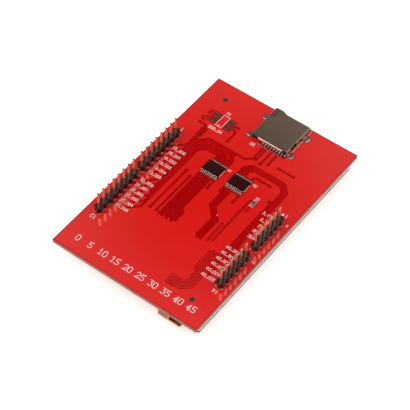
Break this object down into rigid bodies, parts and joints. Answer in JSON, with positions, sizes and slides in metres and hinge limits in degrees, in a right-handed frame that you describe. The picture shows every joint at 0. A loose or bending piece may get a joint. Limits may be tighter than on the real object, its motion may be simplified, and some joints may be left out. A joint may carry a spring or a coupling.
{
  "type": "lcd touchscreen board",
  "caption": "Flat touch display on a plug-on circuit board, lying screen down, with rows of square pins along both sides and a memory card socket on its back.",
  "frame": {"origin": "middle of the part's box, on the face that the screen rests on", "axes": "+X across the board to the shorter headers' side, +Y along the board to the card socket's end, +Z from the screen up to the pins"},
  "size_m": [0.0564, 0.0864, 0.0154],
  "materials": {
    "laminate": "woven laminate under dark red mask",
    "mask": "glossy red solder mask over copper",
    "tin": "bright tinned metal",
    "header_plastic": "black moulded plastic",
    "gold": "gold plated",
    "mould": "black moulding compound",
    "steel": "stamped sheet",
    "wire": "drawn wire",
    "socket_plastic": "black moulded plastic",
    "slider_plastic": "dark moulded plastic",
    "flex": "amber film",
    "glass": "clear",
    "touch_film": "clear film over a dark cell",
    "polarizer": "dark film",
    "light_film": "pale film",
    "light_guide": "clear sheet",
    "frame_plastic": "white moulded plastic",
    "lamp": "pale yellow lens",
    "black_tape": "black tape",
    "adhesive": "clear adhesive",
    "foam": "closed cell foam"
  },
  "bodies": {
    "module": {"circuit_board": "laminate", "copper_layer": "mask", "bare_pads": "tin", "lower_left_housing": "header_plastic", "upper_left_housing": "header_plastic", "lower_right_housing": "header_plastic", "upper_right_housing": "header_plastic", "lower_left_pins": "gold", "upper_left_pins": "gold", "lower_right_pins": "gold", "upper_right_pins": "gold", "header_solder": "tin", "left_chip_body": "mould", "left_chip_leads": "tin", "right_chip_body": "mould", "right_chip_leads": "tin", "resistor_body": "mould", "resistor_caps": "tin", "socket_shell": "steel", "socket_base": "socket_plastic", "socket_contacts": "tin", "detect_contact": "tin", "slider_spring": "wire", "cam_pin": "wire", "touch_film": "touch_film", "touch_adhesive": "adhesive", "touch_glass": "glass", "touch_tail": "flex", "touch_gasket": "foam", "front_polarizer": "polarizer", "colour_filter_glass": "glass", "transistor_glass": "glass", "rear_polarizer": "polarizer", "driver_chip": "mould", "display_flex": "flex", "rim_tape": "black_tape", "backlight_frame": "frame_plastic", "upper_prism_film": "light_film", "lower_prism_film": "light_film", "diffuser_sheet": "light_film", "light_guide": "light_guide", "reflector_sheet": "light_film", "lamp_strip": "flex", "backlight_lamps": "lamp", "rear_tray": "steel", "mounting_tape": "foam"},
    "card_slider": {"card_slider": "slider_plastic"}
  },
  "joints": [
    {"name": "card_slider_slide", "type": "slide", "parent": "module", "child": "card_slider", "axis": [0, 1, 0], "range_m": [-0.0036, 0], "stiffness_N_per_m": 60, "springref_m": 0.004, "deforming": ["slider_spring"]}
  ]
}
